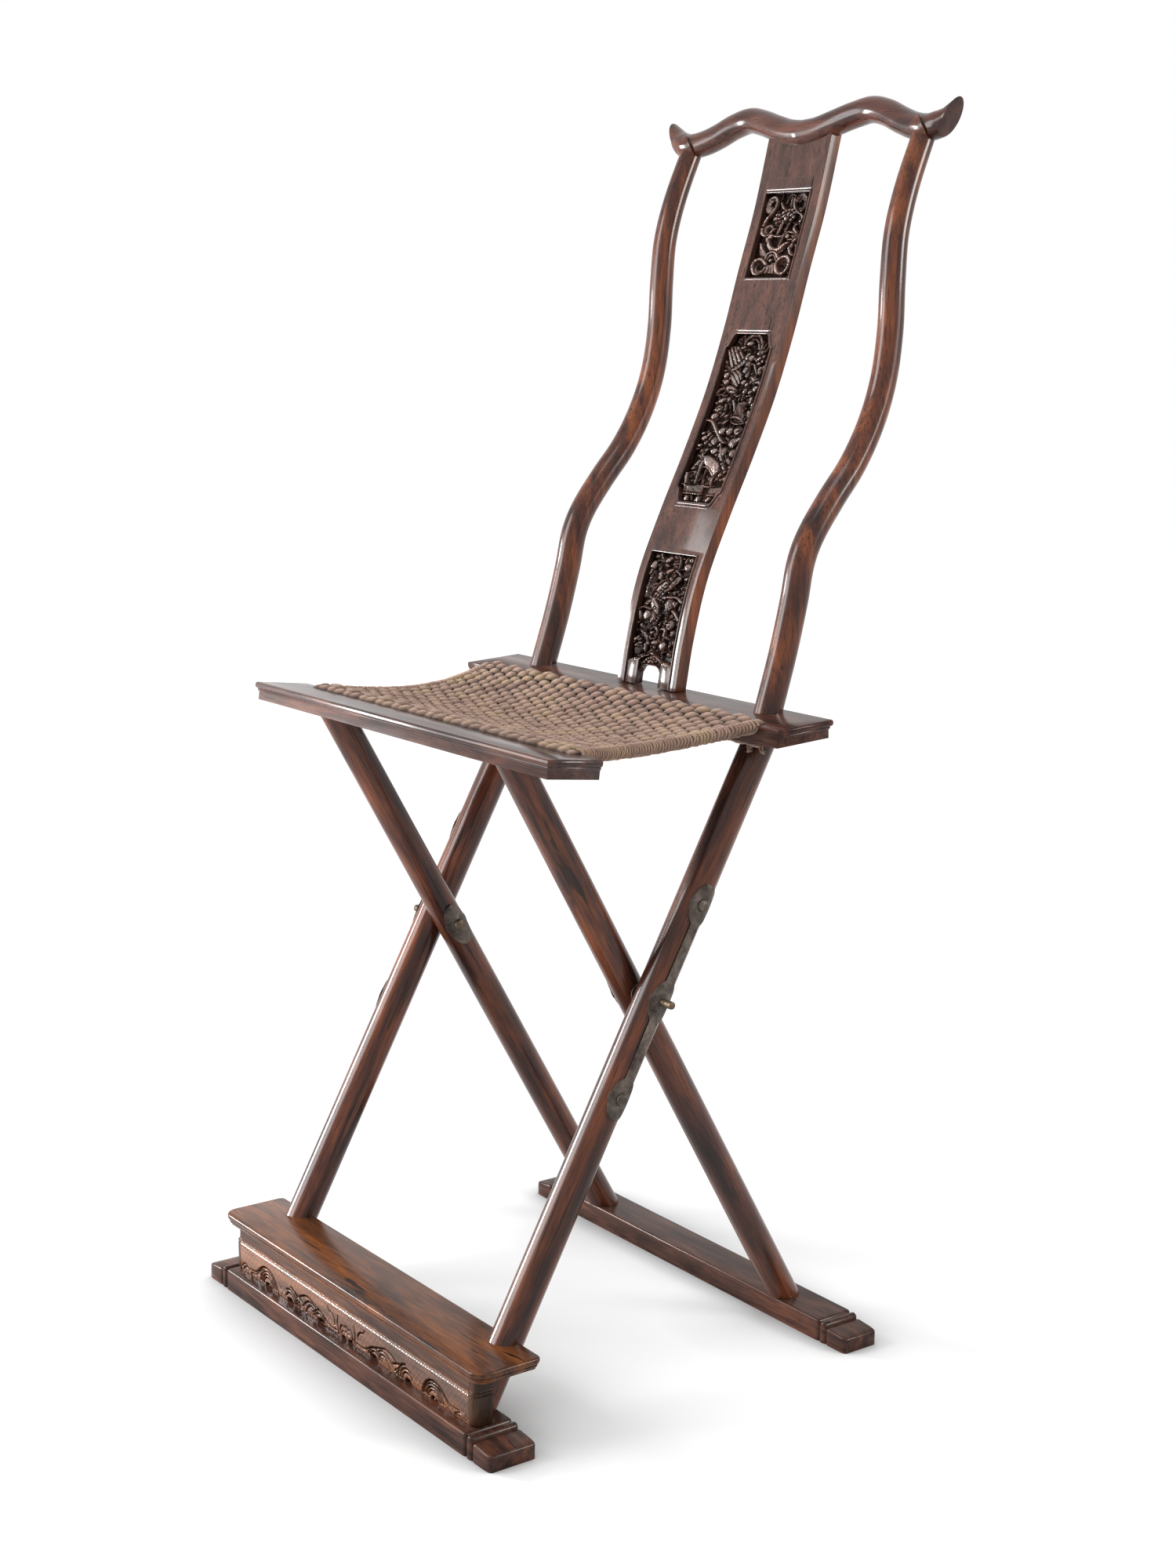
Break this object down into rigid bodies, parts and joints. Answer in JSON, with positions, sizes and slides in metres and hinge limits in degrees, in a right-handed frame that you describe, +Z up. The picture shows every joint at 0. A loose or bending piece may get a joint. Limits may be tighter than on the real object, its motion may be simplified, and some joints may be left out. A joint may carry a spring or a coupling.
{
  "type": "folding chair",
  "caption": "Folding wooden side chair with crossed round legs on iron pivots, corded seat, footrest, and a tall curved back with carved splat and yoke-shaped crest rail.",
  "frame": {"origin": "on the floor, under the middle of the chair's footprint", "axes": "+X to the sitter's left, +Y to the back, +Z up"},
  "size_m": [0.472, 0.5136, 1.1025],
  "materials": {
    "hardwood": "polished reddish brown hardwood, glossy",
    "dark_hardwood": "waxed darker brown hardwood",
    "iron": "dark wrought iron, worn",
    "seat_cord": "twisted tan plant-fibre cord, matt"
  },
  "bodies": {
    "back_frame": {"crest_rail": "hardwood", "back_post_left": "hardwood", "back_post_right": "hardwood", "rear_seat_rail": "hardwood", "leg_outer_left": "hardwood", "leg_outer_right": "hardwood", "front_base_rail": "hardwood", "footrest_board": "hardwood", "footrest_apron": "hardwood", "footrest_return_left": "hardwood", "footrest_return_right": "hardwood", "splat_board": "dark_hardwood", "splat_panel_top": "dark_hardwood", "splat_panel_middle": "dark_hardwood", "splat_panel_bottom": "dark_hardwood", "pivot_strap_left": "iron", "pivot_strap_right": "iron", "pivot_pin_left": "iron", "pivot_pin_right": "iron", "pivot_washer_left": "iron", "pivot_washer_right": "iron", "strap_nail_upper_left": "iron", "strap_nail_upper_right": "iron", "strap_nail_lower_left": "iron", "strap_nail_lower_right": "iron", "seat_lacing_rear": "seat_cord"},
    "front_frame": {"front_seat_rail": "hardwood", "leg_inner_left": "hardwood", "leg_inner_right": "hardwood", "rear_base_rail": "hardwood", "pivot_plate_left": "iron", "pivot_plate_right": "iron", "seat_weave": "seat_cord", "seat_lacing_front_left": "seat_cord", "seat_lacing_front_middle": "seat_cord", "seat_lacing_front_right": "seat_cord"}
  },
  "joints": [
    {"name": "fold", "type": "hinge", "parent": "back_frame", "child": "front_frame", "pos_m": [0, -0.04996, 0.343], "axis": [-1, 0, 0], "range_deg": [0, 42], "deforming": ["seat_weave"]}
  ]
}
